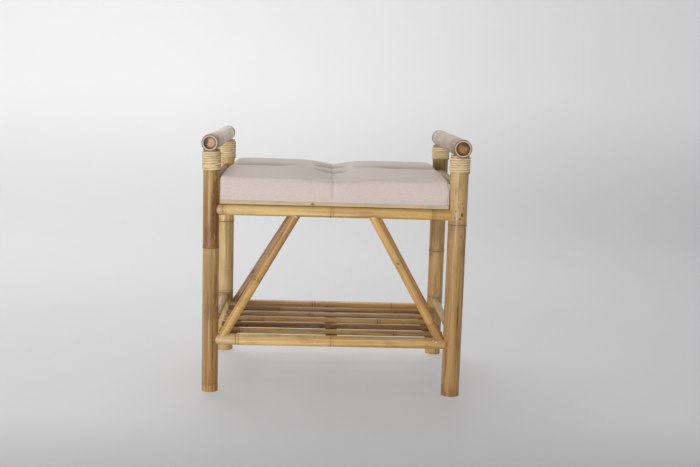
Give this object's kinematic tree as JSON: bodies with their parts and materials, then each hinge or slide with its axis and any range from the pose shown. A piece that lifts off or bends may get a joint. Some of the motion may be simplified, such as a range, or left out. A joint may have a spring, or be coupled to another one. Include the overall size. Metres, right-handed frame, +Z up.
{
  "type": "entryway bench",
  "caption": "Small bamboo bench with arm rails, a channelled linen seat cushion and a slatted shoe shelf between slanting braces.",
  "frame": {"origin": "on the floor, in the middle of the four legs", "axes": "+Z up, -Y towards the front, +X to the right of a viewer who faces the front"},
  "size_m": [0.5748, 0.43, 0.5656],
  "materials": {
    "bamboo_leg": "satin varnish over olive-brown bamboo skin",
    "bamboo_rail": "satin varnish over straw-gold bamboo skin",
    "bamboo_arm": "satin varnish over grey-beige bamboo skin",
    "bamboo_slat": "satin varnish over split bamboo",
    "cane": "matte pale rattan cane",
    "plywood": "bare pale plywood",
    "hardwood": "bare hardwood",
    "linen": "plain-woven pinkish beige linen"
  },
  "bodies": {
    "frame": {"brace_pegs": "hardwood", "front_left_brace": "bamboo_rail", "front_left_leg": "bamboo_leg", "front_post_bindings": "cane", "front_right_brace": "bamboo_rail", "front_right_leg": "bamboo_leg", "front_seat_rail": "bamboo_rail", "front_shelf_rail": "bamboo_rail", "left_arm_rail": "bamboo_arm", "left_seat_rail": "bamboo_rail", "left_shelf_bearer": "bamboo_slat", "left_shelf_rail": "bamboo_rail", "middle_shelf_bearer": "bamboo_slat", "post_plugs": "hardwood", "rear_left_brace": "bamboo_rail", "rear_left_leg": "bamboo_leg", "rear_post_bindings": "cane", "rear_right_brace": "bamboo_rail", "rear_right_leg": "bamboo_leg", "rear_seat_rail": "bamboo_rail", "rear_shelf_rail": "bamboo_rail", "right_arm_rail": "bamboo_arm", "right_seat_rail": "bamboo_rail", "right_shelf_bearer": "bamboo_slat", "right_shelf_rail": "bamboo_rail", "seat_board": "plywood", "seat_rail_tenons": "hardwood", "shelf_rail_tenons": "hardwood", "shelf_slat_1": "bamboo_slat", "shelf_slat_2": "bamboo_slat", "shelf_slat_3": "bamboo_slat", "shelf_slat_4": "bamboo_slat", "shelf_slat_5": "bamboo_slat"},
    "cushion": {"seat_cushion": "linen"}
  },
  "joints": [
    {"name": "cushion_lift", "type": "slide", "parent": "frame", "child": "cushion", "axis": [0, 0, 1], "range_m": [0, 0.16]}
  ]
}
